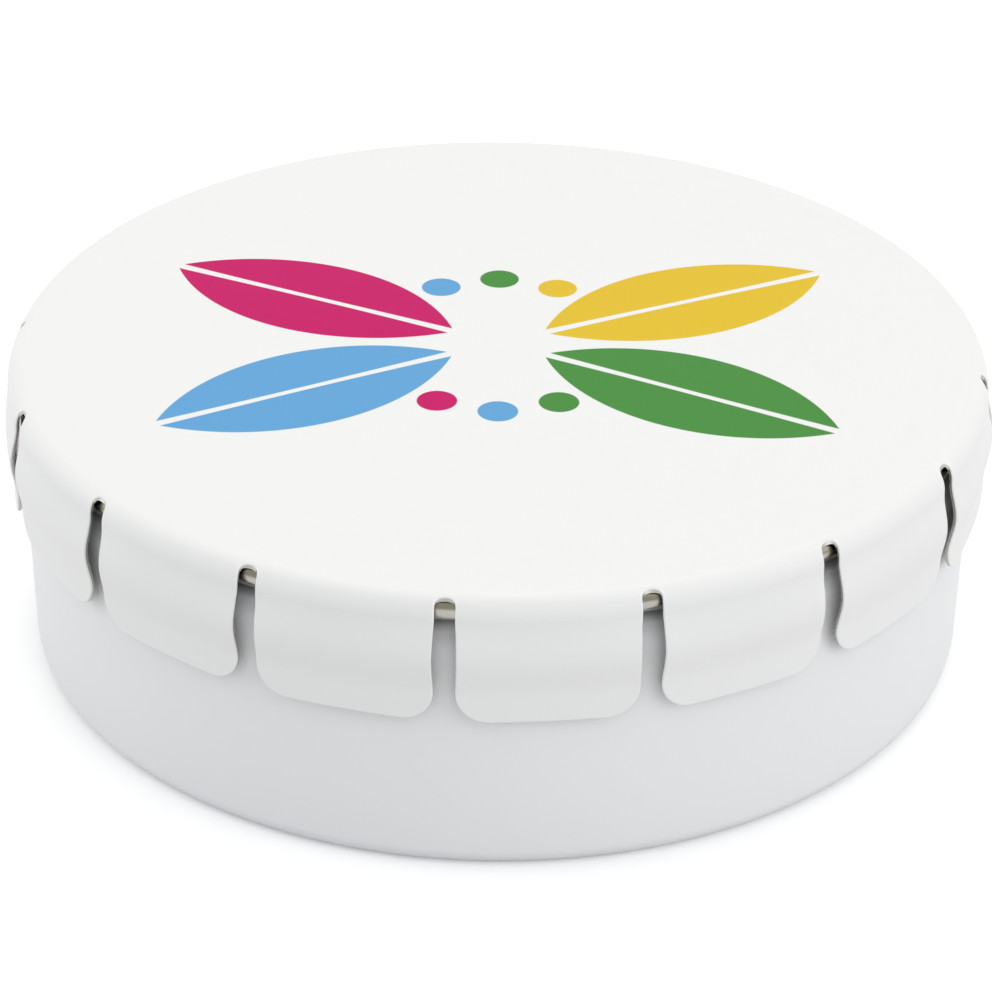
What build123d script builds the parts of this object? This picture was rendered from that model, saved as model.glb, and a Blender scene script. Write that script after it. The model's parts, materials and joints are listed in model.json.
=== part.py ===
from build123d import *
import math
import os

# A round press-to-open mint tin in millimetres, standing on Z = 0 with the tin's axis on Z and
# its front towards -Y. Two pieces of drawn tinplate hold loose mints: a base with a rolled
# rim, and a lid whose skirt is slotted into spring tabs that close in under that rim.

# Tinplate with its paint
sheet = 0.28

# Rolled rim round the mouth of the base
base_height = 18.1
curl_outer_radius = 29.05
curl_diameter = 1.4
curl_turn = 285.0

# Drawn base: its wall tapers to the foot and is necked in below the rim
wall_inset = 0.4
wall_taper = 0.45
wall_bend_radius = 6.0
neck_start_drop = 6.9
neck_end_drop = 2.5
foot_corner_radius = 0.88
foot_ring_width = 2.4
foot_rise = 0.4
foot_step = 0.7
foot_step_radius = 0.4

# Lid seat, press panel and shoulder
lid_seat_gap = 0.07
panel_crown = 0.25
panel_inset = 0.35
panel_cut_gap = 0.06
shoulder_clearance = 0.28
shoulder_width = 1.1
shoulder_drop = 1.45
shoulder_bend_share = 0.85

# Skirt, slotted into spring tabs
tab_count = 16
lid_turn = 5.85
tab_length = 6.47
tab_neck_clearance = 0.16
tab_neck_drop = 4.9
tab_bulge = 0.34
tab_bulge_drop = 2.5
tab_flatness = 0.22
tab_corner_radius = 1.85
tab_relief = 0.03
tab_relief_drop = 0.9
tab_bend_gap = 0.03
slot_width = 1.17
slot_corner_radius = 0.36
slot_reach_in = 0.535

# Mints, lying loose in the base
mint_radius = 6.4
mint_height = 4.6
mint_edge = 0.9
mint_side_height = 2.9
mint_rest_gap = 0.05
mint_side_gap = 0.15
first_mint_turn = 3.0
inner_mint_turn = 65.0
inner_mint_place_share = 0.45
upper_mint_place_share = 0.94
mints_left_out_above = 3

# Cutters run past what they cut by this much
overrun = 1.0

# What follows from those sizes
curl_radius = curl_diameter / 2
curl_place = curl_outer_radius - curl_radius
curl_height = base_height - curl_radius
mouth_radius = curl_place - curl_radius
wall_radius = curl_outer_radius - wall_inset
foot_radius = wall_radius - wall_taper
foot_step_end = foot_radius - foot_ring_width
foot_step_start = foot_step_end - foot_step
neck_start = base_height - neck_start_drop
neck_end = base_height - neck_end_drop
rim_height = base_height + lid_seat_gap + sheet
skirt_radius = curl_outer_radius + shoulder_clearance + sheet
skirt_top = rim_height - shoulder_drop
shoulder_radius = skirt_radius - shoulder_width
shoulder_bend_radius = shoulder_width * shoulder_bend_share
panel_radius = mouth_radius - panel_inset
tab_pitch = 360.0 / tab_count
tab_root = skirt_top - tab_bend_gap
tab_neck_radius = curl_outer_radius + tab_neck_clearance + sheet
tab_bulge_radius = tab_neck_radius + tab_bulge
slot_end_place = skirt_radius - slot_reach_in
slot_half_turn = math.degrees(math.asin(slot_width / 2 / skirt_radius))
tab_root_half_width = skirt_radius * math.sin(math.radians(tab_pitch / 2 - slot_half_turn))
tab_half_width = tab_root_half_width - tab_relief


def write(piece, name):
    """Label one finished piece and write it to its own file."""
    piece.label = name
    export_step(piece, f"parts/{name}.step")


def mint_ring(place, count, scatter, floor):
    """Where mints lie in a ring: evenly, but for a scatter in degrees to either side."""
    turns = [
        math.radians(first_mint_turn + 360 * number / count + scatter * math.sin(3 * number))
        for number in range(count)
    ]
    return [(place * math.cos(turn), place * math.sin(turn), floor) for turn in turns]


os.makedirs("parts", exist_ok=True)

# Drawn base: floor raised inside a foot ring, wall necked in below a rim rolled outwards
with BuildPart() as tin_base:
    with BuildSketch(Plane.XZ):
        with BuildLine():
            inside = FilletPolyline(
                (0, foot_rise + sheet),
                (foot_step_start, foot_rise + sheet),
                (foot_step_end, sheet),
                (foot_radius, sheet),
                (wall_radius, neck_start),
                (mouth_radius, neck_end),
                (mouth_radius, curl_height),
                radius=[
                    foot_step_radius + sheet,
                    foot_step_radius,
                    foot_corner_radius,
                    wall_bend_radius,
                    wall_bend_radius + sheet,
                ],
            )
            outside = FilletPolyline(
                (0, foot_rise),
                (foot_step_start, foot_rise),
                (foot_step_end, 0),
                (foot_radius + sheet, 0),
                (wall_radius + sheet, neck_start),
                (mouth_radius + sheet, neck_end),
                (mouth_radius + sheet, curl_height),
                radius=[
                    foot_step_radius,
                    foot_step_radius + sheet,
                    foot_corner_radius + sheet,
                    wall_bend_radius + sheet,
                    wall_bend_radius,
                ],
            )
            rolled_face = CenterArc((curl_place, curl_height), curl_radius, 180, -curl_turn)
            rolled_back = CenterArc((curl_place, curl_height), curl_radius - sheet, 180, -curl_turn)
            Line(inside @ 0, outside @ 0)
            Line(rolled_face @ 1, rolled_back @ 1)
        make_face()
    revolve(axis=Axis.Z)
write(tin_base.part, "tin_base")

# Press panel: the springy middle of the lid, slightly crowned
with BuildPart() as lid_press_panel:
    with BuildSketch(Plane.XZ):
        with BuildLine():
            top = TangentArc(
                (0, rim_height + panel_crown), (panel_radius, rim_height), tangent=(1, 0)
            )
            under = TangentArc(
                (0, rim_height + panel_crown - sheet), (panel_radius, rim_height - sheet), tangent=(1, 0)
            )
            Line(top @ 0, under @ 0)
            Line(top @ 1, under @ 1)
        make_face()
    revolve(axis=Axis.Z)
write(lid_press_panel.part, "lid_press_panel")

# Shoulder ring: the lid's stiff edge, seated on the rolled rim and notched by the slots' ends.
# Its bend is two arcs, tight above and wide below, that end upright at the top of the skirt.
upper_bend_centre = (shoulder_radius, rim_height - shoulder_bend_radius)
lower_bend_radius = (
    shoulder_width**2 + shoulder_drop**2 - 2 * shoulder_drop * shoulder_bend_radius
) / (2 * (shoulder_width - shoulder_bend_radius))
lower_bend_centre = (skirt_radius - lower_bend_radius, skirt_top)
bend_meet = math.degrees(
    math.atan2(shoulder_drop - shoulder_bend_radius, lower_bend_radius - shoulder_width)
)
slot_reach = slot_reach_in + slot_corner_radius + overrun
with BuildPart() as lid_shoulder_ring:
    with BuildSketch(Plane.XZ):
        with BuildLine():
            ring_inside = panel_radius + panel_cut_gap
            flat_top = Line((ring_inside, rim_height), (shoulder_radius, rim_height))
            flat_under = Line((ring_inside, rim_height - sheet), (shoulder_radius, rim_height - sheet))
            CenterArc(upper_bend_centre, shoulder_bend_radius, bend_meet, 90 - bend_meet)
            CenterArc(upper_bend_centre, shoulder_bend_radius - sheet, bend_meet, 90 - bend_meet)
            lower_outside = CenterArc(lower_bend_centre, lower_bend_radius, 0, bend_meet)
            lower_inside = CenterArc(lower_bend_centre, lower_bend_radius - sheet, 0, bend_meet)
            Line(flat_top @ 0, flat_under @ 0)
            Line(lower_outside @ 0, lower_inside @ 0)
        make_face()
    revolve(axis=Axis.Z)
    with BuildSketch(Plane.XY.offset(skirt_top - overrun)):
        with PolarLocations(slot_end_place, tab_count, start_angle=lid_turn - 90 + tab_pitch / 2):
            RectangleRounded(
                slot_reach, slot_width, slot_corner_radius, align=(Align.MIN, Align.CENTER)
            )
    extrude(amount=shoulder_drop + 2 * overrun, mode=Mode.SUBTRACT)
write(lid_shoulder_ring.part, "lid_shoulder_ring")

# One spring tab, made on +X: out to a bulge, then back in to the neck that grips under the rim
tab_levels = [
    (0, skirt_radius, 0),
    (tab_bulge_drop / 2, (skirt_radius + tab_bulge_radius) / 2, tab_flatness / 2),
    (tab_bulge_drop, tab_bulge_radius, tab_flatness),
    ((tab_bulge_drop + tab_neck_drop) / 2, (tab_bulge_radius + tab_neck_radius) / 2, tab_flatness),
    (tab_neck_drop, tab_neck_radius, tab_flatness),
    (tab_length, tab_neck_radius, tab_flatness),
]
pitch_across = math.sin(math.radians(tab_pitch / 2))
pitch_along = math.cos(math.radians(tab_pitch / 2))
with BuildPart() as spring_tab:
    for drop, middle_radius, flatness in tab_levels:
        slot_outside = middle_radius + flatness
        slot_inside = slot_outside - sheet
        with BuildSketch(Plane.XY.offset(tab_root - drop)):
            with BuildLine():
                outer_face = ThreePointArc(
                    (slot_outside * pitch_along, -slot_outside * pitch_across),
                    (middle_radius, 0),
                    (slot_outside * pitch_along, slot_outside * pitch_across),
                )
                inner_face = ThreePointArc(
                    (slot_inside * pitch_along, -slot_inside * pitch_across),
                    (middle_radius - sheet, 0),
                    (slot_inside * pitch_along, slot_inside * pitch_across),
                )
                Line(outer_face @ 0, inner_face @ 0)
                Line(outer_face @ 1, inner_face @ 1)
            make_face()
    loft()
    with BuildSketch(Plane.YZ) as tab_outline:
        with BuildLine():
            Polyline(
                (-tab_root_half_width, tab_root),
                (tab_root_half_width, tab_root),
                (tab_half_width, tab_root - tab_relief_drop),
                (tab_half_width, tab_root - tab_length),
                (-tab_half_width, tab_root - tab_length),
                (-tab_half_width, tab_root - tab_relief_drop),
                close=True,
            )
        make_face()
        fillet(tab_outline.vertices().group_by(Axis.Y)[0], radius=tab_corner_radius)
    extrude(amount=tab_bulge_radius + overrun, mode=Mode.INTERSECT)

# The skirt's tabs, numbered from the front one and on to the right
for number in range(tab_count):
    turned = spring_tab.part.rotate(Axis.Z, lid_turn - 90 + number * tab_pitch)
    write(turned, f"lid_tab_{number + 1:02d}")

# One mint, pressed from powder, with flat faces and a broad sloping edge
mint_edge_height = (mint_height - mint_side_height) / 2
with BuildPart() as mint:
    with BuildSketch(Plane.XZ):
        with BuildLine():
            Polyline(
                (0, 0),
                (mint_radius - mint_edge, 0),
                (mint_radius, mint_edge_height),
                (mint_radius, mint_height - mint_edge_height),
                (mint_radius - mint_edge, mint_height),
                (0, mint_height),
                close=True,
            )
        make_face()
    revolve(axis=Axis.Z)

# Mints in two layers: as full a ring as fits round one near the middle, and a looser ring on top
ring_place = foot_step_start - mint_radius
mint_turn = math.degrees(2 * math.asin((mint_radius + mint_side_gap / 2) / ring_place))
lower_count = int(360 / mint_turn)
lower_scatter = (360 / lower_count - mint_turn) / 2
lower_floor = foot_rise + sheet + mint_rest_gap
inner_place = inner_mint_place_share * (ring_place - 2 * mint_radius - mint_side_gap)
inner_turn = math.radians(inner_mint_turn)
with BuildPart() as mints_lower_layer:
    with Locations(*mint_ring(ring_place, lower_count, lower_scatter, lower_floor)):
        add(mint.part)
    with Locations((inner_place * math.cos(inner_turn), inner_place * math.sin(inner_turn), lower_floor)):
        add(mint.part)
write(mints_lower_layer.part, "mints_lower_layer")

upper_place = ring_place * upper_mint_place_share
upper_count = lower_count - mints_left_out_above
upper_scatter = mint_turn / upper_count
upper_floor = lower_floor + mint_height + mint_rest_gap
with BuildPart() as mints_upper_layer:
    with Locations(*mint_ring(upper_place, upper_count, upper_scatter, upper_floor)):
        add(mint.part)
write(mints_upper_layer.part, "mints_upper_layer")
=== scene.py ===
"""Looks of a round press-to-open mint tin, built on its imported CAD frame.

Every piece is drawn tinplate or a pressed mint, made finer than the CAD solid that it stands for:
a sheet with its thickness, with paint that turns over the cut edges and bare metal on the cuts.
Lengths are in metres, +Z is up along the tin's axis and -Y is the front.
"""

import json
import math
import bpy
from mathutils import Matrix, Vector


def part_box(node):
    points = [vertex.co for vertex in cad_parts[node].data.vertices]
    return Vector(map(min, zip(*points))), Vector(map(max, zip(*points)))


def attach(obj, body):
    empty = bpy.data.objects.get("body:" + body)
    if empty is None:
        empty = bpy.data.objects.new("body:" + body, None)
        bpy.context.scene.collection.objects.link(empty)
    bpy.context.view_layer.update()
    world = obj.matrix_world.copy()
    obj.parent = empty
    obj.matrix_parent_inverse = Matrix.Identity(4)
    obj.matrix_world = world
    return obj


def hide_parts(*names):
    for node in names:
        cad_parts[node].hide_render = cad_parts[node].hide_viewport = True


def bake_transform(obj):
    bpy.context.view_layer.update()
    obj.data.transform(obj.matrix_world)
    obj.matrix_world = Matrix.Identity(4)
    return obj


bl_info = {
    "name": "Mint tin",
    "version": (1, 0, 0),
    "blender": (4, 5, 0),
    "location": "3D View > Sidebar > Mint tin",
    "description": "Builds the visual pieces of a press-to-open mint tin on its CAD frame",
    "category": "Object",
}

import bpy
import numpy as np
from mathutils import Matrix, Vector

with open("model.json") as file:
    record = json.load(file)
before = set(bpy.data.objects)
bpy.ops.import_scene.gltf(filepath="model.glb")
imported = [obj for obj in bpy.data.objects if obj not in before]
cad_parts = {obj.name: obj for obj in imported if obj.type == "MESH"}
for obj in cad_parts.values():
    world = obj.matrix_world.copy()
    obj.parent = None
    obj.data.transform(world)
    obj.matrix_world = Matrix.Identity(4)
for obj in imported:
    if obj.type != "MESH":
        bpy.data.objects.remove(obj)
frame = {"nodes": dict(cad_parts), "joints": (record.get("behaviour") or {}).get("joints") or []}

# What the frame gives: the hinge of each spring tab, and the levels and radii of the pieces
hinges = [joint for joint in frame["joints"] if joint["name"].startswith("tab_swing")]
tab_turns = [math.atan2(hinge["pos_m"][1], hinge["pos_m"][0]) for hinge in hinges]
tab_nodes = [hinge["child"] for hinge in hinges]
pitch = math.tau / len(hinges)
skirt_radius = math.hypot(hinges[0]["pos_m"][0], hinges[0]["pos_m"][1])
skirt_top = hinges[0]["pos_m"][2]
skirt_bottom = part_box(tab_nodes[0])[0].z
rim_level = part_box("lid_shoulder_ring")[1].z
crown_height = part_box("lid_press_panel")[1].z - rim_level
base_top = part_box("tin_base")[1].z
curl_outer_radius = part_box("tin_base")[1].x

# The materials of a sheet, in the order of its mesh's slots
outside_slot, inside_slot, cut_slot = range(3)

full_white = (1.0, 1.0, 1.0, 1.0)

# Uneven surfaces: how large their blotches are, how deep, and how much of them shows
reliefs = {
    "waves": (0.006, 0.00003, 0.5),
    "peel": (0.00022, 0.000004, 0.45),
    "grains": (0.00018, 0.00003, 0.5),
    "pits": (0.0009, 0.00008, 0.4),
    "rolled": (0.0004, 0.000006, 0.4),
    "cut": (0.0001, 0.000006, 0.4),
}

# Each soft light, by its name in the settings: where it stands, how wide it is and its colour
soft_lights = {
    "top_light": ((0.03, 0.16, 0.6), 0.5, (1.0, 0.94, 0.76)),
    "front_light": ((0.17, -0.36, 0.46), 0.25, (1.0, 0.98, 0.94)),
    "right_light": ((0.5, -0.25, 0.22), 0.4, (1.0, 0.99, 0.98)),
    "left_light": ((-0.5, 0.08, 0.15), 0.35, (1.0, 1.0, 0.98)),
}


def kind_of_setting(make, **always):
    """A short way to write settings of one kind."""

    def setting(name, default, description):
        return make(name=name, default=default, description=description, **always)

    return setting


a_length = kind_of_setting(bpy.props.FloatProperty, min=0.0, unit="LENGTH", precision=5)
a_shift = kind_of_setting(bpy.props.FloatProperty, unit="LENGTH", precision=5)
an_angle = kind_of_setting(bpy.props.FloatProperty, subtype="ANGLE")
a_share = kind_of_setting(bpy.props.FloatProperty, min=0.0, max=1.0, subtype="FACTOR")
a_power = kind_of_setting(bpy.props.FloatProperty, min=0.0, unit="POWER")
a_count = kind_of_setting(bpy.props.IntProperty, min=3)
a_colour = kind_of_setting(
    bpy.props.FloatVectorProperty, size=3, min=0.0, max=1.0, subtype="COLOR"
)


class SheetSizes(bpy.types.PropertyGroup):
    """Tinplate and how finely it and the mints are meshed."""

    thickness: a_length("Thickness", 0.00028, "Painted tinplate")
    edge_round: a_length("Edge round", 0.0001, "Round of the paint over a cut edge")
    slope_step: a_length("Slope step", 0.000014, "Reach over which a tab's slope is taken")
    columns: a_count("Columns", 24, "Strips across each spring tab")
    mint_columns: a_count("Mint columns", 72, "Strips round each mint")
    bend_rows: a_count("Bend rows", 10, "Rows along each bend of a section")
    corner_rows: a_count("Corner rows", 20, "Rows round a tab's corner or a slot's end")
    edge_rows: a_count("Edge rows", 4, "Rows round a cut edge or a mint's worn corner")
    flat_rows: a_count("Flat rows", 5, "Rows across the lid's flat edge and its hub")
    web_rows: a_count("Web rows", 15, "Rows across the web round the hub")
    tab_rows: a_count("Tab rows", 40, "Rows down a tab above its lower corners")
    curl_rows: a_count("Curl rows", 50, "Rows round the rolled rim")


class BaseSizes(bpy.types.PropertyGroup):
    """Section of the drawn base, and where its paint ends."""

    foot_radius: a_length("Foot radius", 0.0282, "Wall's radius extended to the ground")
    foot_corner: a_length("Foot corner", 0.00088, "Inner radius of the bottom corner")
    foot_ring: a_length("Foot ring", 0.0024, "Width of the ring that the tin stands on")
    foot_rise: a_length("Foot rise", 0.0004, "Height of the floor above the foot ring")
    foot_step: a_length("Foot step", 0.0007, "Width of the step up to the floor")
    foot_step_bend: a_length("Step bend", 0.0004, "Radius of the bends of that step")
    wall_radius: a_length("Wall radius", 0.02865, "Inner radius where the neck starts")
    neck_start: a_length("Neck start", 0.0149, "Height where the wall turns inwards")
    neck_end: a_length("Neck end", 0.0165, "Height where the neck is upright again")
    wall_bend: a_length("Wall bend", 0.0015, "Inner radius of the neck's bends")
    curl_diameter: a_length("Curl diameter", 0.00165, "Rolled rim")
    curl_turn: an_angle("Curl turn", math.radians(285.0), "How far the rim is rolled")
    # Painted shade: the enamel turns nearly black and partly metallic under the rolled rim,
    # standing in for the shade in the neck; it sets in this far below the neck's upright top and is
    # full this far below it
    painted_shade_fade: a_length("Paint fade", 0.0009, "Depth below the neck where paint thins")
    painted_shade_full: a_length("Paint end", 0.0002, "Depth below the neck where it has ended")
    # Lacquer and painted shade: from this depth below the rim's top up, the rim is painted dark
    # brown, partly lacquer and partly the shade of the lid over it
    lacquer_and_shade_depth: a_length("Lacquer depth", 0.00073, "Lacquer down from the rim's top")
    tone_edge: a_length("Tone edge", 0.00016, "Height over which the rim changes tone")


class LidSizes(bpy.types.PropertyGroup):
    """Section of the lid, its slots and its spring tabs."""

    panel_edge: a_length("Panel edge", 0.02733, "Radius of the springy middle")
    hub_radius: a_length("Hub radius", 0.007, "Middle of the panel that moves as one")
    shoulder_width: a_length("Shoulder width", 0.0011, "From the flat to the skirt")
    shoulder_bend: a_length("Shoulder bend", 0.000935, "Radius of the tighter upper bend")
    slot_width: a_length("Slot width", 0.00117, "Between two tabs")
    slot_end_centre: a_length("Slot end centre", 0.029435, "Radius of the middle of its end")
    slot_end_depth: a_length("Slot end depth", 0.00036, "How far in the end reaches")
    slot_lean: an_angle("Slot lean", math.radians(12.0), "How far its end is punched off square")
    bulge: a_length("Bulge", 0.00022, "How far the tabs swell beyond the skirt")
    bulge_drop: a_length("Bulge drop", 0.0025, "Depth of the bulge below the skirt's top")
    neck: a_length("Neck", 0.00012, "How far the tabs draw in from the skirt")
    neck_drop: a_length("Neck drop", 0.0049, "Depth where they are drawn in")
    flatness: a_length("Flatness", 0.00022, "How far the sides stand out past the middle")
    relief: a_length("Relief", 0.00003, "Narrowing of each side of a tab")
    relief_drop: a_length("Relief drop", 0.0009, "Depth by which it has narrowed")
    corner: a_length("Tab corner", 0.00185, "Radius of the tabs' lower corners")
    bend_depth: a_length("Bend depth", 0.0014, "Depth over which a tab's root bends")
    # Painted highlight: the enamel is painted whiter in a strip this wide along the slots' long
    # edges, from this depth below the lid's flat down
    painted_highlight_width: a_length("Bead width", 0.00015, "Thicker enamel along the slots")
    painted_highlight_drop: a_length("Bead drop", 0.0002, "Depth below the lid's flat where it starts")


class MintSizes(bpy.types.PropertyGroup):
    """One pressed mint; its radius and height come from the frame."""

    land: a_length("Edge width", 0.0009, "Width of the sloping edge")
    edge_height: a_length("Edge height", 0.00085, "Height of the sloping edge")
    round: a_length("Round", 0.0003, "Wear on its corners")


class PrintSizes(bpy.types.PropertyGroup):
    """Four leaves and six dots, printed flat on the panel."""

    leaf_length: a_length("Leaf length", 0.0195, "From tip to tip")
    leaf_width: a_length("Leaf width", 0.0088, "Across the middle")
    leaf_place: a_length("Leaf place", 0.0128, "Middle of a leaf from the tin's axis")
    leaf_turn: an_angle("Leaf turn", math.radians(27.0), "Between a leaf and the left-right line")
    vein_width: a_length("Vein width", 0.0004, "White line along a leaf")
    dot_radius: a_length("Dot radius", 0.0012, "Small dots between the leaves")
    dot_place: a_length("Dot place", 0.0085, "A row's middle dot from the tin's axis")
    dot_step: a_length("Dot step", 0.0036, "From one dot of a row to the next")
    dot_drop: a_length("Dot drop", 0.0012, "How much nearer in the outer dots lie")
    edge_softness: a_length("Edge softness", 0.00006, "Width of a printed edge")


class Colours(bpy.types.PropertyGroup):
    """Paint, inks, metal and sweets."""

    lid_white: a_colour("Lid white", (0.86, 0.862, 0.864), "White enamel")
    base_white: a_colour("Base white", (0.855, 0.865, 0.88), "White enamel")
    # Colour of the painted highlight along the slots' edges
    painted_highlight: a_colour("Bead", (0.95, 0.95, 0.95), "Thicker enamel along the slots")
    metal: a_colour("Tinplate", (0.66, 0.64, 0.60), "Bare tinplate")
    rim: a_colour("Rim", (0.42, 0.41, 0.385), "Tinplate dulled by the rolling of the rim")
    cut: a_colour("Cut edge", (0.5, 0.5, 0.48), "Steel of a cut edge")
    # Dark brown on the rim's top: lacquer, darkened as painted shade under the lid
    lacquer_and_shade: a_colour("Lacquer", (0.22, 0.205, 0.155), "Lacquer on top of the rolled rim")
    # Painted shade: nearly black colour of the band under the rolled rim
    margin: a_colour("Margin", (0.1, 0.097, 0.09), "Bare margin under the rolled rim")
    mint: a_colour("Mint", (0.9, 0.915, 0.9), "Pressed sugar")
    magenta: a_colour("Magenta", (0.56, 0.001, 0.13), "Ink")
    blue: a_colour("Blue", (0.12, 0.37, 0.68), "Ink")
    yellow: a_colour("Yellow", (0.75, 0.515, 0.025), "Ink")
    green: a_colour("Green", (0.06, 0.26, 0.045), "Ink")


class Finishes(bpy.types.PropertyGroup):
    """How uneven and how glossy each surface is."""

    sheen_size: a_length("Sheen size", 0.004, "Patches of glossier and duller enamel")
    sheen_glossy: a_share("Glossy enamel", 0.44, "Roughness of the glossiest patches")
    sheen_dull: a_share("Dull enamel", 0.52, "Roughness of the dullest patches")
    shade_size: a_length("Shade size", 0.009, "Patches of slightly darker enamel")
    shade: a_share("Shade", 0.985, "Brightness of the darkest patches")
    enamel_specular: a_share("Enamel specular", 0.35, "Reflection of plain enamel")
    print_specular: a_share("Print specular", 0.12, "Reflection of the printed panel")
    # How metallic the painted shade under the rolled rim is
    painted_shade_metal: a_share("Margin metal", 0.7, "How metallic the base's bare margin is")
    rolled_rough: a_share("Rolled roughness", 0.26, "Roughness of rolled tinplate")
    cut_rough: a_share("Cut roughness", 0.4, "Roughness of a cut edge")
    mark_shade: a_share("Mark shade", 0.8, "Brightness of the metal in the marks")
    mark_rough: a_share("Mark roughness", 0.06, "Roughness that marks add or take off")
    powder_rough: a_share("Powder roughness", 0.8, "Roughness of the pressed powder")
    powder_glow: a_share("Powder glow", 0.25, "Share of light that goes through powder")
    glow_reach: a_length("Glow reach", 0.0012, "How far red and green light goes in it")
    glow_reach_blue: a_length("Blue glow reach", 0.001, "How far blue light goes in it")


class StageSettings(bpy.types.PropertyGroup):
    """Camera, lights and floor."""

    camera_distance: a_length("Camera distance", 0.270539, "From the aim to the camera")
    camera_elevation: an_angle("Elevation", math.radians(30.067), "Above the horizon")
    camera_roll: an_angle("Roll", math.radians(0.6648), "Turn about the line of sight")
    camera_right: a_shift("Camera right", 0.000266, "Shift along its own right")
    camera_up: a_shift("Camera up", 0.006674, "Shift along its own up")
    lens: bpy.props.FloatProperty(
        name="Lens", description="Focal length in millimetres", default=155.62, min=1.0
    )
    top_light: a_power("Top light", 0.88, "Soft light overhead")
    front_light: a_power("Front light", 0.24, "Soft light from the front")
    right_light: a_power("Right light", 0.65, "Soft light from the right")
    left_light: a_power("Left light", 0.5, "Soft light from the left")
    surround: a_share("Surround", 0.75, "Brightness of the surround as a light")
    surround_tint: a_colour("Surround tint", (0.965, 0.98, 1.0), "Its colour as a light")
    floor_white: a_share("Floor white", 0.68, "How much light the floor throws back")
    floor_lift: a_share("Floor lift", 0.17, "How much lighter its shadow is where seen")
    floor_reach: a_length("Floor reach", 1.5, "From the tin to the floor's edges")
    floor_drop: a_length("Floor drop", 0.00001, "How far the floor is below the foot")


def turned(points, angle):
    """Points or directions turned about the tin's axis."""
    turn = np.array(Matrix.Rotation(angle, 3, "Z"))
    return points @ turn.T


def ease(share):
    """A soft step from 0 to 1."""
    return (1 - np.cos(np.pi * np.clip(share, 0, 1))) / 2


def section(radii, heights, slopes, angles):
    """A grid made by turning a section about the tin's axis, and its normals.
    Each normal leans up by its slope, and the angles are the same in all rows or given for each."""
    radii, heights, slopes = (np.asarray(values)[:, None] for values in (radii, heights, slopes))
    angles = np.atleast_2d(angles)
    cosines, sines, level = np.cos(angles), np.sin(angles), np.cos(slopes)
    points = [radii * cosines, radii * sines, heights]
    normals = [level * cosines, level * sines, np.sin(slopes)]
    return [np.stack(np.broadcast_arrays(*parts), axis=-1) for parts in (points, normals)]


def filleted(corners, bends, rows):
    """A section through corners with rounded bends: radii, heights and the slopes of its normals.
    The normals are on the right-hand side of the way that the section runs."""
    corners = [Vector(corner) for corner in corners]
    radii, heights, slopes = [], [], []

    def append(point, direction):
        radii.append(point.x)
        heights.append(point.y)
        slopes.append(math.atan2(-direction.x, direction.y))

    append(corners[0], corners[1] - corners[0])
    for before, corner, after, bend in zip(corners, corners[1:], corners[2:], bends):
        way_in, way_out = (corner - before).normalized(), (after - corner).normalized()
        turn = math.atan2(way_in.x * way_out.y - way_in.y * way_out.x, way_in.dot(way_out))
        trim = bend * math.tan(abs(turn) / 2)
        side = math.copysign(1, turn)
        centre = corner - way_in * trim + Vector((-way_in.y, way_in.x)) * bend * side
        for step in range(rows + 1):
            angle = turn * step / rows
            direction = Matrix.Rotation(angle, 2) @ way_in
            append(centre - Vector((-direction.y, direction.x)) * bend * side, direction)
    append(corners[-1], corners[-1] - corners[-2])
    return np.array(radii), np.array(heights), np.array(slopes)


def behind(points, normals, thickness):
    """The inner face of a sheet, square behind its outer one."""
    return points - normals * thickness, normals


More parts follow.
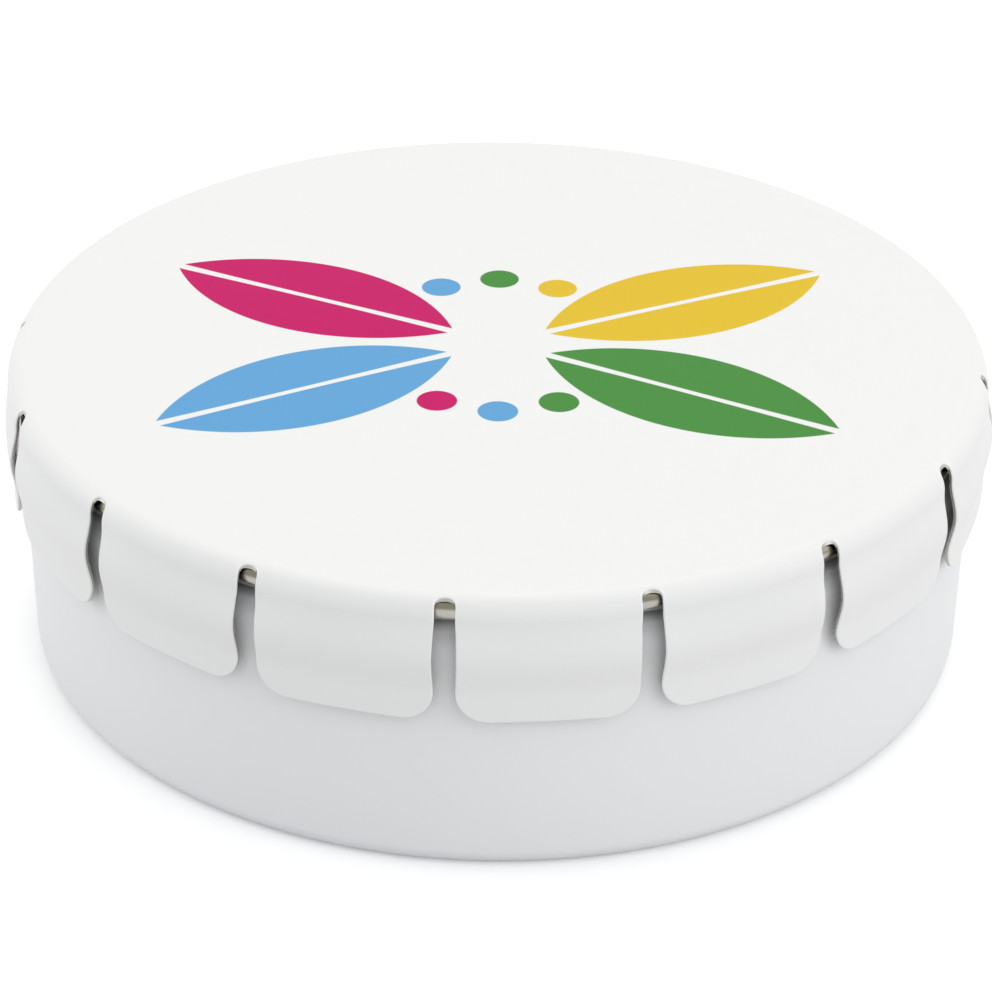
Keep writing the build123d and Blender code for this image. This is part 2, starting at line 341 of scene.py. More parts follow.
class Skin:
    """Grids of points with their normals, welded into the mesh of one piece."""

    def __init__(self):
        self.corners, self.normals, self.slots = [], [], []

    def add_grid(self, points, normals, slot):
        """Add the quads of a grid, wound to face along their normals."""
        corners, facing = (
            np.stack(
                [grid[:-1, :-1], grid[1:, :-1], grid[1:, 1:], grid[:-1, 1:]], axis=2
            ).reshape(-1, 4, 3)
            for grid in (points, normals)
        )
        across = np.cross(corners[:, 2] - corners[:, 0], corners[:, 3] - corners[:, 1])
        back = (across * facing.sum(axis=1)).sum(axis=1) < 0
        corners[back], facing[back] = corners[back][:, ::-1], facing[back][:, ::-1]
        self.corners.append(corners)
        self.normals.append(facing)
        self.slots.append(np.full(len(corners), slot))

    def add_sheet(self, outer, inner):
        """Add both faces of a sheet, each as its points and its outward normals."""
        self.add_grid(*outer, outside_slot)
        self.add_grid(inner[0], -inner[1], inside_slot)

    def add_cut(self, outer, inner, sheet):
        """Add a cut edge along the borders of a sheet's faces.
        Seen from outside, the borders run with the sheet on their left."""
        way = np.gradient(outer[0], axis=0)
        way /= np.linalg.norm(way, axis=1, keepdims=True)
        away = np.cross(way, outer[1])
        away /= np.linalg.norm(away, axis=1, keepdims=True)
        turn = np.linspace(0, np.pi / 2, sheet.edge_rows)[:, None, None]
        out, over = away * sheet.edge_round * np.sin(turn), sheet.edge_round * (1 - np.cos(turn))
        upper = outer[0] + out - outer[1] * over
        lower = inner[0] + out + inner[1] * over
        facing = np.cross(way, upper[-1] - lower[-1])
        facing /= np.linalg.norm(facing, axis=1, keepdims=True)
        round_over = facing * np.sin(turn)
        self.add_grid(upper, outer[1] * np.cos(turn) + round_over, outside_slot)
        self.add_grid(lower, round_over - inner[1] * np.cos(turn), inside_slot)
        self.add_grid(np.stack([upper[-1], lower[-1]]), np.stack([facing, facing]), cut_slot)

    def build(self, name, materials):
        """Make the object, welding points that agree to a tenth of a micrometre.
        An attribute keeps where they rest, which its materials read in any pose."""
        corners, normals = np.concatenate(self.corners), np.concatenate(self.normals)
        slots = np.concatenate(self.slots)
        _, first, welded = np.unique(
            np.round(corners.reshape(-1, 3), decimals=7),
            axis=0,
            return_index=True,
            return_inverse=True,
        )
        points, welded = corners.reshape(-1, 3)[first], welded.reshape(-1, 4)
        faces, face_normals, face_slots = [], [], []
        for face, facing, slot in zip(welded.tolist(), normals.tolist(), slots.tolist()):
            kept = {vertex: normal for vertex, normal in zip(face, facing)}
            if len(kept) > 2:
                faces.append(list(kept))
                face_normals.extend(kept.values())
                face_slots.append(slot)
        mesh = bpy.data.meshes.new(name)
        mesh.from_pydata(points.tolist(), [], faces)
        for material in materials:
            mesh.materials.append(material)
        mesh.polygons.foreach_set("material_index", face_slots)
        mesh.polygons.foreach_set("use_smooth", [True] * len(faces))
        mesh.normals_split_custom_set(face_normals)
        rest = mesh.attributes.new("rest", "FLOAT_VECTOR", "POINT")
        rest.data.foreach_set("vector", points.ravel())
        piece = bpy.data.objects.new(name, mesh)
        bpy.context.scene.collection.objects.link(piece)
        return piece


class Nodes:
    """A short way to write the nodes of a material or of the surround."""

    def __init__(self, owner, shader="Principled BSDF"):
        owner.use_nodes = True
        self.tree = owner.node_tree
        self.shader = self.tree.nodes[shader]

    def add(self, kind, settings=None, **inputs):
        """Add a node. An input is a value or a node's output, and its name has _ for a space."""
        node = self.tree.nodes.new(kind)
        for key, value in (settings or {}).items():
            setattr(node, key, value)
        for key, value in inputs.items():
            self.set(node, key.replace("_", " "), value)
        return node

    def set(self, node, key, value):
        """Set an input, by its name or its number, to a value or to another node's output."""
        if isinstance(value, bpy.types.NodeSocket):
            self.tree.links.new(value, node.inputs[key])
        else:
            node.inputs[key].default_value = value

    def fill(self, node, values):
        """Set the first inputs of a node in their order."""
        for number, value in enumerate(values):
            self.set(node, number, value)

    def math(self, operation, *values, clamp=False):
        """The result of a Math node."""
        node = self.add("ShaderNodeMath", {"operation": operation, "use_clamp": clamp})
        self.fill(node, values)
        return node.outputs[0]

    def vector_math(self, operation, *values):
        """The results of a Vector Math node."""
        node = self.add("ShaderNodeVectorMath", {"operation": operation})
        self.fill(node, values)
        return node.outputs

    def rest(self):
        """Where a point is on the resting tin."""
        return self.add("ShaderNodeAttribute", {"attribute_name": "rest"}).outputs["Vector"]

    def noise(self, place, size, detail=2.0):
        """Noise whose blotches are about that size."""
        node = self.add("ShaderNodeTexNoise", Vector=place, Scale=1 / size, Detail=detail)
        return node.outputs["Fac"]

    def ramp(self, value, start, end):
        """0 up to the start and 1 from the end on; the end may be the lower one."""
        node = self.add("ShaderNodeMapRange", Value=value, From_Min=start, From_Max=end)
        return node.outputs["Result"]

    def spread(self, value, low, high):
        """Map 0..1 to low..high."""
        node = self.add("ShaderNodeMapRange", Value=value, To_Min=low, To_Max=high)
        return node.outputs["Result"]

    def tint(self, share, first, second):
        """A colour that goes from the first to the second with share.
        The colours of a Mix node are its inputs 6 and 7 and its output 2."""
        node = self.add("ShaderNodeMix", {"data_type": "RGBA"})
        self.set(node, 0, share)
        self.set(node, 6, first)
        self.set(node, 7, second)
        return node.outputs[2]

    def bump(self, height, distance, strength, under=None):
        """A normal from a height of 0..1, laid on another one."""
        node = self.add("ShaderNodeBump", Height=height, Distance=distance, Strength=strength)
        if under:
            self.set(node, "Normal", under)
        return node.outputs["Normal"]

    def relief(self, place, kind, detail=2.0, under=None):
        """A normal from one kind of relief, laid on another one."""
        size, depth, strength = reliefs[kind]
        return self.bump(self.noise(place, size, detail), depth, strength, under)

    def shade(self, **inputs):
        """Set the shader's inputs."""
        for key, value in inputs.items():
            self.set(self.shader, key.replace("_", " "), value)


def rgba(colour):
    """A colour with full alpha."""
    return (*colour, 1.0)


def height_mask(nodes, place, start, end):
    """0 up to one height and 1 from another on."""
    return nodes.ramp(nodes.add("ShaderNodeSeparateXYZ", Vector=place).outputs["Z"], start, end)


def inside_mask(nodes, distance, limit, softness):
    """1 where the distance is under the limit, with a soft edge."""
    return nodes.ramp(distance, limit + softness / 2, limit - softness / 2)


def slot_mask(nodes, place, half_width, width, top):
    """1 at the slots' long edges, fading within that width, and 0 above the top."""
    parts = nodes.add("ShaderNodeSeparateXYZ", Vector=place)
    angle = nodes.math("ARCTAN2", parts.outputs["Y"], parts.outputs["X"])
    from_slot = nodes.math("SUBTRACT", angle, tab_turns[0] + pitch / 2)
    off = nodes.math("WRAP", from_slot, pitch / 2, -pitch / 2)
    aside = nodes.math("ABSOLUTE", nodes.math("MULTIPLY", off, skirt_radius))
    beside = inside_mask(nodes, aside, half_width + width / 2, width)
    return nodes.math("MULTIPLY", beside, height_mask(nodes, place, top, top - width))


def lay_enamel(nodes, place, colour, specular, finish):
    """Stoved enamel of a colour: fine orange peel over the sheet's slight waviness."""
    sheen = nodes.noise(place, finish.sheen_size, detail=4.0)
    nodes.shade(
        Base_Color=colour,
        Normal=nodes.relief(place, "peel", under=nodes.relief(place, "waves")),
        Roughness=nodes.spread(sheen, finish.sheen_glossy, finish.sheen_dull),
        Specular_IOR_Level=specular,
    )


def enamel_colour(nodes, place, colour, finish):
    """White enamel's colour, barely uneven."""
    darker = [finish.shade * channel for channel in colour]
    patches = nodes.noise(place, finish.shade_size, detail=3.0)
    return nodes.tint(patches, rgba(darker), rgba(colour))


def lid_enamel(nodes, place, colours, sizes, finish):
    """The lid's enamel, painted whiter in a strip along the slots as a highlight."""
    half_slot, painted_highlight_top = sizes.slot_width / 2, rim_level - sizes.painted_highlight_drop
    # Painted highlight: whiter enamel in a strip along the slots' long edges
    painted_highlight = slot_mask(nodes, place, half_slot, sizes.painted_highlight_width, painted_highlight_top)
    plain = enamel_colour(nodes, place, colours.lid_white, finish)
    colour = nodes.tint(painted_highlight, plain, rgba(colours.painted_highlight))
    lay_enamel(nodes, place, colour, finish.enamel_specular, finish)


def base_enamel(nodes, place, colours, sizes, finish):
    """The base's enamel, which turns nearly black and partly metallic under the rolled rim, as
    painted shade in the neck.
    """
    fade, end = sizes.neck_end - sizes.painted_shade_fade, sizes.neck_end - sizes.painted_shade_full
    # Painted shade under the rolled rim, laid as a bare, nearly black, partly metallic band
    bare = height_mask(nodes, place, fade, end)
    plain = enamel_colour(nodes, place, colours.base_white, finish)
    colour = nodes.tint(bare, plain, rgba(colours.margin))
    lay_enamel(nodes, place, colour, finish.enamel_specular, finish)
    nodes.shade(Metallic=nodes.math("MULTIPLY", bare, finish.painted_shade_metal))


def disc_distance(nodes, place, centre):
    """Distance of a point from a centre on the panel."""
    return nodes.vector_math("DISTANCE", place, (centre[0], centre[1], 0.0))["Value"]


def leaf_mask(nodes, place, turn, sizes):
    """A leaf between two arcs that points away from the tin's axis, without its white vein."""
    half_length, half_width = sizes.leaf_length / 2, sizes.leaf_width / 2
    arc_radius = (half_length**2 + half_width**2) / (2 * half_width)
    offset = arc_radius - half_width
    along = Vector((math.cos(turn), math.sin(turn)))
    across = Vector((-along.y, along.x))
    one, other = (
        disc_distance(nodes, place, along * sizes.leaf_place + across * offset * side)
        for side in (1, -1)
    )
    leaf = inside_mask(nodes, nodes.math("MAXIMUM", one, other), arc_radius, sizes.edge_softness)
    # The two distances part twice as fast as a point moves off the vein
    apart = nodes.math("ABSOLUTE", nodes.math("SUBTRACT", one, other))
    vein = inside_mask(nodes, apart, sizes.vein_width, sizes.edge_softness * 2)
    return nodes.math("SUBTRACT", leaf, vein, clamp=True)


def printed_enamel(nodes, place, colours, sizes, finish):
    """The panel's enamel with the leaves and dots on it."""
    flat = nodes.vector_math("MULTIPLY", place, (1.0, 1.0, 0.0))["Vector"]
    inks = [rgba(ink) for ink in (colours.magenta, colours.blue, colours.yellow, colours.green)]
    turn = sizes.leaf_turn
    colour = rgba(colours.lid_white)
    for ink, leaf_turn in zip(inks, (math.pi - turn, math.pi + turn, turn, -turn)):
        colour = nodes.tint(leaf_mask(nodes, flat, leaf_turn, sizes), colour, ink)
    # A row of dots behind and one in front: each dot's steps from the row's middle, and its ink
    rows = {1: [(-1.0, 1), (0.0, 3), (1.0, 2)], -1: [(-1.0, 0), (0.0, 1), (1.0, 3)]}
    for side, row in rows.items():
        for step, ink in row:
            away = sizes.dot_place - abs(step) * sizes.dot_drop
            distance = disc_distance(nodes, flat, (step * sizes.dot_step, side * away))
            dot = inside_mask(nodes, distance, sizes.dot_radius, sizes.edge_softness)
            colour = nodes.tint(dot, colour, inks[ink])
    lay_enamel(nodes, place, colour, finish.print_specular, finish)


def rim_bands(colours, sizes):
    """The rolled rim's other tones: the two heights between which each sets in, and its colour."""
    curl_bottom, lacquer_and_shade_level = base_top - sizes.curl_diameter, base_top - sizes.lacquer_and_shade_depth
    return [
        (curl_bottom, curl_bottom + sizes.tone_edge, colours.rim),
        # From this height up the rim is painted dark brown: lacquer, and painted shade under the
        # lid's edge
        (lacquer_and_shade_level, lacquer_and_shade_level + sizes.tone_edge, colours.lacquer_and_shade),
    ]


def bare_metal(nodes, place, finish, kind, colour, roughness, bands=()):
    """Rolled or cut tinplate with fine marks, and with another tone from each band's height up."""
    size, depth, strength = reliefs[kind]
    marks = nodes.noise(place, size, detail=3.0)
    darker = [finish.mark_shade * channel for channel in colour]
    shown = nodes.tint(marks, rgba(darker), rgba(colour))
    for start, end, tone in bands:
        shown = nodes.tint(height_mask(nodes, place, start, end), shown, rgba(tone))
    nodes.shade(
        Base_Color=shown,
        Metallic=1.0,
        Normal=nodes.bump(marks, depth, strength),
        Roughness=nodes.spread(marks, roughness - finish.mark_rough, roughness + finish.mark_rough),
    )


def pressed_sugar(nodes, place, colour, finish):
    """Matt pressed powder with small pits."""
    grains = nodes.relief(place, "grains", detail=3.0)
    nodes.shade(
        Base_Color=rgba(colour),
        Normal=nodes.relief(place, "pits", under=grains),
        Roughness=finish.powder_rough,
        Subsurface_Weight=finish.powder_glow,
        Subsurface_Radius=(finish.glow_reach, finish.glow_reach, finish.glow_reach_blue),
    )


def material(name):
    """One of the tin's materials, made when it is first asked for."""
    if name in bpy.data.materials:
        return bpy.data.materials[name]
    scene = bpy.context.scene
    colours, finish = scene.tin_colours, scene.tin_finish
    made = bpy.data.materials.new(name)
    nodes = Nodes(made)
    place = nodes.rest()
    rolled = ("rolled", colours.metal, finish.rolled_rough)
    if name == "printed panel":
        printed_enamel(nodes, place, colours, scene.tin_print, finish)
    elif name == "mint":
        pressed_sugar(nodes, place, colours.mint, finish)
    elif name == "bare tinplate":
        bare_metal(nodes, place, finish, *rolled)
    elif name == "rim tinplate":
        bare_metal(nodes, place, finish, *rolled, rim_bands(colours, scene.tin_base))
    elif name == "cut edge":
        bare_metal(nodes, place, finish, "cut", colours.cut, finish.cut_rough)
    elif name == "base enamel":
        base_enamel(nodes, place, colours, scene.tin_base, finish)
    else:
        lid_enamel(nodes, place, colours, scene.tin_lid, finish)
    return made


def sheet_materials(outside, inside="bare tinplate"):
    """Outside, inside and cut edge of a sheet."""
    return [material(outside), material(inside), material("cut edge")]


def column_shares():
    """Places of the columns across a tab, from -1 to 1."""
    return np.linspace(-1, 1, bpy.context.scene.tin_sheet.columns + 1)


def round_angles():
    """Angles of the columns all the way round, in step with the tabs' columns."""
    count = bpy.context.scene.tin_sheet.columns * len(hinges)
    return tab_turns[0] + pitch / 2 + np.linspace(0, math.tau, count + 1)


def build_base(sheet, sizes):
    """The base: raised floor, foot ring, wall, neck and rolled rim, from one section."""
    curl_radius = sizes.curl_diameter / 2
    curl_centre = Vector((curl_outer_radius - curl_radius, base_top - curl_radius))
    mouth = curl_centre.x - curl_radius + sheet.thickness
    step_end = sizes.foot_radius - sizes.foot_ring
    path = filleted(
        [
            (0, sizes.foot_rise),
            (step_end - sizes.foot_step, sizes.foot_rise),
            (step_end, 0),
            (sizes.foot_radius + sheet.thickness, 0),
            (sizes.wall_radius + sheet.thickness, sizes.neck_start),
            (mouth, sizes.neck_end),
            (mouth, curl_centre.y),
        ],
        [
            sizes.foot_step_bend,
            sizes.foot_step_bend + sheet.thickness,
            sizes.foot_corner + sheet.thickness,
            sizes.wall_bend + sheet.thickness,
            sizes.wall_bend,
        ],
        sheet.bend_rows,
    )
    rolled = np.linspace(math.pi, math.pi - sizes.curl_turn, sheet.curl_rows)
    within = curl_radius - sheet.thickness
    radii = np.append(path[0], curl_centre.x + within * np.cos(rolled))
    heights = np.append(path[1], curl_centre.y + within * np.sin(rolled))
    slopes = np.append(path[2], rolled + math.pi)
    points, normals = section(radii, heights, slopes, round_angles())
    skin = Skin()
    inner = behind(points, normals, sheet.thickness)
    skin.add_sheet((points, normals), inner)
    end = np.stack([points[-1], inner[0][-1]])
    along = points[-1] - points[-2]
    along /= np.linalg.norm(along, axis=1, keepdims=True)
    skin.add_grid(end, np.stack([along, along]), cut_slot)
    base = skin.build("base_shell", sheet_materials("base enamel", "rim tinplate"))
    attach(base, "base")
    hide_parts("tin_base")


def shoulder_section(sizes):
    """The lid's shoulder: the end of the flat, and two functions.
    One gives the radius and height where the normal leans up by a slope, the other the slope."""
    drop = rim_level - skirt_top
    flat_end = skirt_radius - sizes.shoulder_width
    upper = sizes.shoulder_bend
    chord = sizes.shoulder_width**2 + drop**2
    lower = (chord - 2 * drop * upper) / (2 * (sizes.shoulder_width - upper))
    meet = math.atan2(drop - upper, lower - sizes.shoulder_width)
    meet_radius = flat_end + upper * math.cos(meet)

    def place(slope):
        tight = slope > meet
        radius = np.where(
            tight, flat_end + upper * np.cos(slope), skirt_radius + lower * (np.cos(slope) - 1)
        )
        height = np.where(
            tight, rim_level + upper * (np.sin(slope) - 1), skirt_top + lower * np.sin(slope)
        )
        return radius, height

    def slope_at(radius):
        return np.where(
            radius < meet_radius,
            np.arccos(np.clip((radius - flat_end) / upper, -1, 1)),
            np.arccos(np.clip(1 - (skirt_radius - radius) / lower, -1, 1)),
        )

    return flat_end, place, slope_at


def build_shoulder(sheet, sizes):
    """The lid's stiff edge: flat, shoulder and the sixteen slots' round ends."""
    flat_end, place, slope_at = shoulder_section(sizes)
    reach = sizes.slot_end_depth + sheet.edge_round
    half_gap = sizes.slot_width / 2 + sheet.edge_round
    round_end = np.linspace(0, math.pi / 2, sheet.corner_rows)
    end_slopes = slope_at(sizes.slot_end_centre - reach * np.cos(round_end))
    top_slopes = np.linspace(math.pi / 2, end_slopes[0], sheet.bend_rows)[:-1]
    side_slopes = np.linspace(end_slopes[-1], 0, sheet.bend_rows)[1:]
    bend = np.concatenate([top_slopes, end_slopes, side_slopes])
    bend_radii, bend_heights = place(bend)
    flat = np.linspace(sizes.panel_edge, flat_end, sheet.flat_rows)[:-1]
    radii = np.append(flat, bend_radii)
    heights = np.append(np.full(len(flat), rim_level), bend_heights)
    slopes = np.append(np.full(len(flat), math.pi / 2), bend)
    whole = len(flat) + len(top_slopes)
    gaps = np.concatenate(
        [np.zeros(whole), half_gap * np.sin(round_end), np.full(len(side_slopes), half_gap)]
    )
    half_angles = pitch / 2 - np.arcsin(gaps / radii)
    across = half_angles[:, None] * column_shares()
    outer = section(radii, heights, slopes, across)
    # The inner face is off square most at the slot's end, and not at all on the flat
    from_flat = (math.pi / 2 - slopes) / (math.pi / 2 - end_slopes[0])
    leaning = slopes - sizes.slot_lean * np.minimum(slopes / end_slopes[0], from_flat)
    level = np.arange(len(slopes)) <= len(flat)
    inner_radii, inner_heights = place(leaning)
    inner_radii = np.where(level, radii, inner_radii - sheet.thickness * np.cos(leaning))
    inner_heights = inner_heights - sheet.thickness * np.sin(leaning)
    inner = section(inner_radii, inner_heights, leaning, across)
    borders = [
        [np.concatenate([grid[:whole:-1, -1], turned(grid[whole:, 0], pitch)]) for grid in face]
        for face in (outer, inner)
    ]
    skin = Skin()
    for turn in tab_turns:
        skin.add_sheet(*([turned(grid, turn) for grid in face] for face in (outer, inner)))
        skin.add_cut(*([turned(grid, turn) for grid in face] for face in borders), sheet)
    ring = skin.build("lid_shoulder", sheet_materials("lid enamel"))
    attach(ring, "lid")
    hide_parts("lid_shoulder_ring")


def tab_surface(across, drop, sizes):
    """Outer face of the tab on +X: across its middle and down from the skirt's top."""
    swell = sizes.bulge * ease(drop / sizes.bulge_drop)
    drawn = (sizes.bulge + sizes.neck) * ease(
        (drop - sizes.bulge_drop) / (sizes.neck_drop - sizes.bulge_drop)
    )
    middle = skirt_radius + swell - drawn
    side = middle + sizes.flatness * ease(drop / sizes.bulge_drop)
    centre = (side**2 - middle**2) / (2 * (side * math.cos(pitch / 2) - middle))
    x = centre + np.sqrt((middle - centre) ** 2 - across**2)
    return np.stack(np.broadcast_arrays(x, across, skirt_top - drop), axis=-1)


def tab_grid(sheet, sizes):
    """Rows and columns of a tab's outer face, and its normals. The rows follow its corners."""
    length = skirt_top - skirt_bottom - sheet.edge_round
    corner = sizes.corner - sheet.edge_round
    turn = np.linspace(0, math.pi / 2, sheet.corner_rows)
    straight = np.linspace(0, length - corner, sheet.tab_rows)[:-1]
    drops = np.append(straight, length - corner + corner * np.sin(turn))
    cut_back = np.append(np.zeros(len(straight)), corner * (1 - np.cos(turn)))
    half_angle = pitch / 2 - math.asin((sizes.slot_width / 2 + sheet.edge_round) / skirt_radius)
    root_half_width = skirt_radius * math.sin(half_angle)
    half_widths = root_half_width - sizes.relief * ease(drops / sizes.relief_drop)
    shares = np.sin(half_angle * column_shares()) / math.sin(half_angle)
    across, drop = (half_widths - cut_back)[:, None] * shares, drops[:, None]
    step = sheet.slope_step
    over = tab_surface(across + step, drop, sizes) - tab_surface(across - step, drop, sizes)
    down = tab_surface(across, drop + step, sizes) - tab_surface(across, drop - step, sizes)
    normals = np.cross(down, over)
    normals /= np.linalg.norm(normals, axis=-1, keepdims=True)
    return tab_surface(across, drop, sizes), normals


def build_tab(number, sheet, sizes):
    """One spring tab: out to its bulge and back in to its neck."""
    turn = tab_turns[number]
    outer = [turned(grid, turn) for grid in tab_grid(sheet, sizes)]
    inner = behind(*outer, sheet.thickness)
    skin = Skin()
    skin.add_sheet(outer, inner)
    borders = (
        [np.concatenate([grid[:-1, 0], grid[-1, :-1], grid[::-1, -1]]) for grid in face]
        for face in (outer, inner)
    )
    skin.add_cut(*borders, sheet)
    node = tab_nodes[number]
    tab = skin.build(node.replace("lid_tab", "spring_tab"), sheet_materials("lid enamel"))
    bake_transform(tab)
    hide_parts(node)


def panel_section(start, end, sizes, rows):
    """Radii, heights and slopes of the crowned panel, level where it meets the lid's edge."""
    radii = np.linspace(start, end, rows)
    share = 1 - (radii / sizes.panel_edge) ** 2
    fall = 4 * crown_height * share * radii / sizes.panel_edge**2
    return radii, rim_level + crown_height * share**2, math.pi / 2 - np.arctan(fall)


def build_panel(sheet, sizes):
    """The press panel: a hub that moves as one, and a web in sectors from it to the lid's edge."""
    materials = sheet_materials("printed panel")
    hub = Skin()
    outer = section(*panel_section(0, sizes.hub_radius, sizes, sheet.flat_rows), round_angles())
    hub.add_sheet(outer, behind(*outer, sheet.thickness))
    hub = hub.build("press_hub", materials)
    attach(hub, "lid_panel")
    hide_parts("lid_press_panel")
    web_path = panel_section(sizes.hub_radius, sizes.panel_edge, sizes, sheet.web_rows)
    web = section(*web_path, pitch / 2 * column_shares())
    for number, turn in enumerate(tab_turns):
        skin = Skin()
        outer = [turned(grid, turn) for grid in web]
        skin.add_sheet(outer, behind(*outer, sheet.thickness))
        sector = skin.build(f"press_web_{number + 1:02d}", materials)
        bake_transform(sector)


def islands(node):
    """Lowest and highest corners of each separate solid in a CAD node.
    Joined points take their lowest label, until each solid has one."""
    mesh = frame["nodes"][node].data
    points = np.zeros(3 * len(mesh.vertices))
    mesh.vertices.foreach_get("co", points)
    edges = np.zeros(2 * len(mesh.edges), int)
    mesh.edges.foreach_get("vertices", edges)
    points = points.reshape(-1, 3)
    _, welded = np.unique(np.round(points, decimals=6), axis=0, return_inverse=True)
    edges = welded.ravel()[edges.reshape(-1, 2)]
    labels = np.arange(welded.max() + 1)
    while True:
        low = np.minimum(labels[edges[:, 0]], labels[edges[:, 1]])
        joined = labels.copy()
        np.minimum.at(joined, edges[:, 0], low)
        np.minimum.at(joined, edges[:, 1], low)
        if (joined == labels).all():
            break
        labels = joined
    labels = labels[welded.ravel()]
    solids = [points[labels == label] for label in np.unique(labels)]
    return [(solid.min(0), solid.max(0)) for solid in solids]


def build_mint(name, node, low, high, sheet, sizes):
    """One pressed mint with flat faces, a sloping edge and slightly worn corners."""
    radius, height = (high[0] - low[0]) / 2, high[2] - low[2]
    land = radius - sizes.land
    corners = [
        (0, 0),
        (land, 0),
        (radius, sizes.edge_height),
        (radius, height - sizes.edge_height),
        (land, height),
        (0, height),
    ]
    bends = [sizes.round] * (len(corners) - 2)
    radii, heights, slopes = filleted(corners, bends, sheet.edge_rows)
    angles = np.linspace(0, math.tau, sheet.mint_columns + 1)
    points, normals = section(radii, heights, slopes, angles)
    centre = np.array([(low[0] + high[0]) / 2, (low[1] + high[1]) / 2, low[2]])
    skin = Skin()
    skin.add_grid(points + centre, normals, outside_slot)
    mint = skin.build(name, [material("mint")])
    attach(mint, "base")
    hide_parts(node)


def build_mints(sheet, sizes):
    """Every mint of the two layers, each its own piece."""
    for node, layer in (("mints_lower_layer", "lower"), ("mints_upper_layer", "upper")):
        for number, (low, high) in enumerate(islands(node)):
            build_mint(f"mint_{layer}_{number + 1:02d}", node, low, high, sheet, sizes)


def add_soft_light(name, place, size, power, colour):
    """A square soft light aimed at the tin."""
    light = bpy.data.lights.new(name, "AREA")
    light.size, light.energy, light.color = size, power, colour
    lamp = bpy.data.objects.new(name, light)
    lamp.location = place
    lamp.rotation_euler = (-Vector(place)).to_track_quat("-Z", "Y").to_euler()
    bpy.context.scene.collection.objects.link(lamp)


def build_lights(settings):
    """The soft lights round the tin."""
    for setting, (place, size, colour) in soft_lights.items():
        power = getattr(settings, setting)
        add_soft_light(setting.replace("_", " "), place, size, power, colour)


def shown_share(nodes):
    """1 for the rays that show a thing, also in metal or through glass, and 0 for its light."""
    rays = nodes.add("ShaderNodeLightPath").outputs
    seen = nodes.math("MAXIMUM", rays["Is Camera Ray"], rays["Is Glossy Ray"])
    return nodes.math("MAXIMUM", seen, rays["Is Transmission Ray"])


def build_floor(settings):
    """A wide pale floor that keeps the tin's soft shadow."""
    reach = settings.floor_reach
    corners = [(-reach, -reach, 0), (reach, -reach, 0), (reach, reach, 0), (-reach, reach, 0)]
    mesh = bpy.data.meshes.new("floor")
    mesh.from_pydata(corners, [], [(0, 1, 2, 3)])
    paint = bpy.data.materials.new("floor")
    nodes = Nodes(paint)
    seen = shown_share(nodes)
    nodes.shade(
        Base_Color=nodes.tint(seen, rgba([settings.floor_white] * 3), full_white),
        Roughness=1.0,
        Specular_IOR_Level=0.0,
        Emission_Color=full_white,
        Emission_Strength=nodes.math("MULTIPLY", seen, settings.floor_lift),
    )
    mesh.materials.append(paint)
    floor = bpy.data.objects.new("floor", mesh)
    floor.location.z = -settings.floor_drop
    bpy.context.scene.collection.objects.link(floor)


def build_world(settings):
    """A white surround: full white where it is seen, and dimmer and bluer as a light."""
    world = bpy.data.worlds.new("surround")
    nodes = Nodes(world, "Background")
    seen = shown_share(nodes)
    nodes.shade(
        Color=nodes.tint(seen, rgba(settings.surround_tint), full_white),
        Strength=nodes.spread(seen, settings.surround, 1.0),
    )
    bpy.context.scene.world = world


def place_camera(settings):
    """The camera that took the photograph."""
    elevation, roll = settings.camera_elevation, settings.camera_roll
    forward = Vector((0, math.cos(elevation), -math.sin(elevation)))
    level = Vector((1, 0, 0))
    right = level * math.cos(roll) + level.cross(forward) * math.sin(roll)
    up = right.cross(forward)
    camera = bpy.data.objects.new("camera", bpy.data.cameras.new("camera"))
    turn = Matrix((right, up, -forward)).transposed()
    place = right * settings.camera_right + up * settings.camera_up
    place -= forward * settings.camera_distance
    camera.matrix_world = Matrix.Translation(place) @ turn.to_4x4()
    camera.data.lens = settings.lens
    camera.data.clip_start = 0.01
    bpy.context.scene.collection.objects.link(camera)
    bpy.context.scene.camera = camera


class TIN_OT_base(bpy.types.Operator):
    """Build the drawn base with its rolled rim."""

    bl_idname = "tin.base"
    bl_label = "Base"
    bl_options = {"REGISTER", "UNDO"}

    def execute(self, context):
        build_base(context.scene.tin_sheet, context.scene.tin_base)
        return {"FINISHED"}


class TIN_OT_shoulder(bpy.types.Operator):
    """Build the lid's slotted shoulder."""

    bl_idname = "tin.shoulder"
    bl_label = "Lid shoulder"
    bl_options = {"REGISTER", "UNDO"}

    def execute(self, context):
        build_shoulder(context.scene.tin_sheet, context.scene.tin_lid)
        return {"FINISHED"}


class TIN_OT_tabs(bpy.types.Operator):
    """Build the lid's spring tabs."""

    bl_idname = "tin.tabs"
    bl_label = "Spring tabs"
    bl_options = {"REGISTER", "UNDO"}

    def execute(self, context):
        for number in range(len(hinges)):
            build_tab(number, context.scene.tin_sheet, context.scene.tin_lid)
        return {"FINISHED"}


class TIN_OT_panel(bpy.types.Operator):
    """Build the printed press panel."""

    bl_idname = "tin.panel"
    bl_label = "Press panel"
    bl_options = {"REGISTER", "UNDO"}

    def execute(self, context):
        build_panel(context.scene.tin_sheet, context.scene.tin_lid)
        return {"FINISHED"}


class TIN_OT_mints(bpy.types.Operator):
    """Build the mints inside."""

    bl_idname = "tin.mints"
    bl_label = "Mints"
    bl_options = {"REGISTER", "UNDO"}

    def execute(self, context):
        build_mints(context.scene.tin_sheet, context.scene.tin_mint)
        return {"FINISHED"}


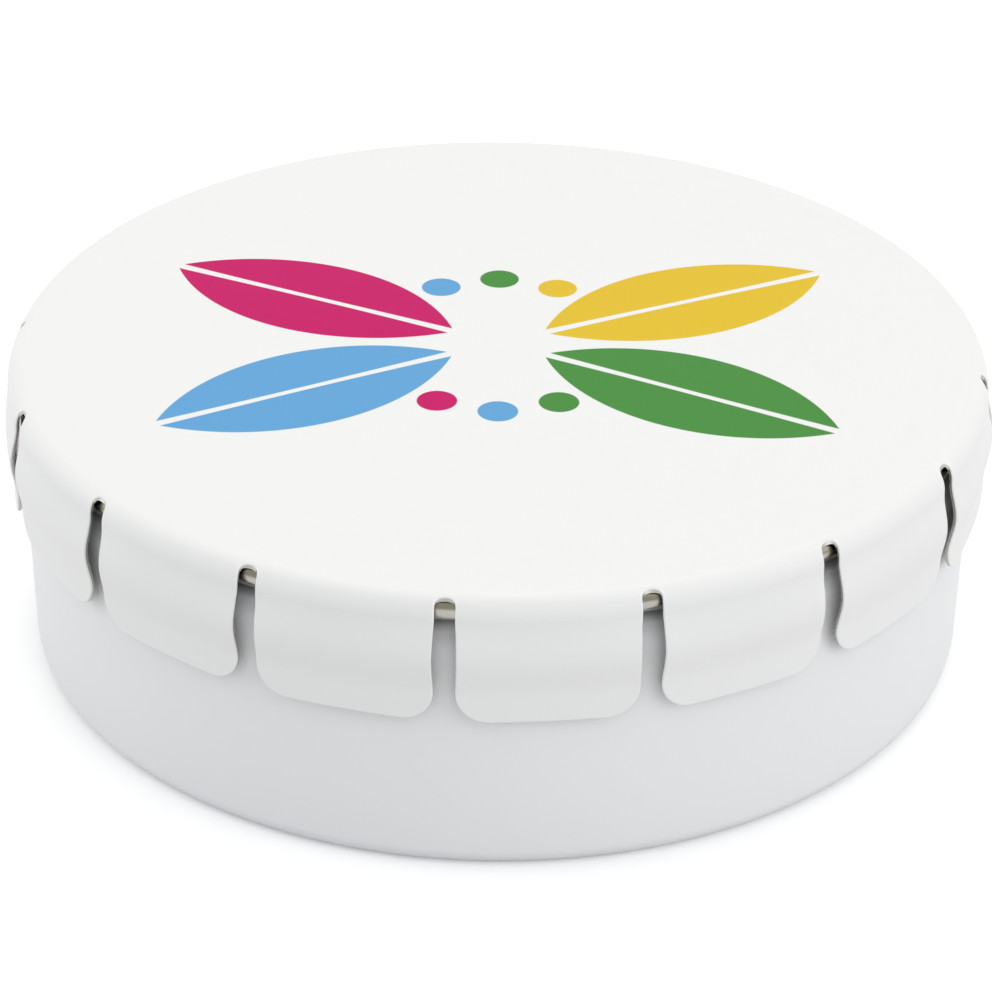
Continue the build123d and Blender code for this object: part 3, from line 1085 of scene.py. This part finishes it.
class TIN_OT_stage(bpy.types.Operator):
    """Set up the floor, the surround, the lights and the camera."""

    bl_idname = "tin.stage"
    bl_label = "Stage"
    bl_options = {"REGISTER", "UNDO"}

    def execute(self, context):
        scene = context.scene
        build_floor(scene.tin_stage)
        build_world(scene.tin_stage)
        build_lights(scene.tin_stage)
        place_camera(scene.tin_stage)
        scene.view_settings.view_transform = "Standard"
        return {"FINISHED"}


class TIN_PT_panel(bpy.types.Panel):
    """Sizes, colours and the buttons that build the tin."""

    bl_idname = "TIN_PT_panel"
    bl_label = "Mint tin"
    bl_space_type = "VIEW_3D"
    bl_region_type = "UI"
    bl_category = "Mint tin"

    def draw(self, context):
        for group in groups:
            box = self.layout.box()
            box.label(text=group)
            settings = getattr(context.scene, group)
            for name in settings.__annotations__:
                box.prop(settings, name)
        for operator in operators:
            self.layout.operator(operator.bl_idname)


groups = {
    "tin_sheet": SheetSizes,
    "tin_base": BaseSizes,
    "tin_lid": LidSizes,
    "tin_mint": MintSizes,
    "tin_print": PrintSizes,
    "tin_colours": Colours,
    "tin_finish": Finishes,
    "tin_stage": StageSettings,
}
operators = (TIN_OT_base, TIN_OT_shoulder, TIN_OT_tabs, TIN_OT_panel, TIN_OT_mints, TIN_OT_stage)


def register():
    """Register the settings, the operators and the panel."""
    for name, group in groups.items():
        bpy.utils.register_class(group)
        setattr(bpy.types.Scene, name, bpy.props.PointerProperty(type=group))
    for part in (*operators, TIN_PT_panel):
        bpy.utils.register_class(part)


def unregister():
    """Take them away again."""
    for part in reversed((*operators, TIN_PT_panel)):
        bpy.utils.unregister_class(part)
    for name, group in reversed(groups.items()):
        delattr(bpy.types.Scene, name)
        bpy.utils.unregister_class(group)


def main():
    """Build everything on the frame."""
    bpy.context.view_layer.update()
    register()
    bpy.ops.tin.base()
    bpy.ops.tin.shoulder()
    bpy.ops.tin.tabs()
    bpy.ops.tin.panel()
    bpy.ops.tin.mints()
    bpy.ops.tin.stage()


if __name__ == "__main__":
    main()
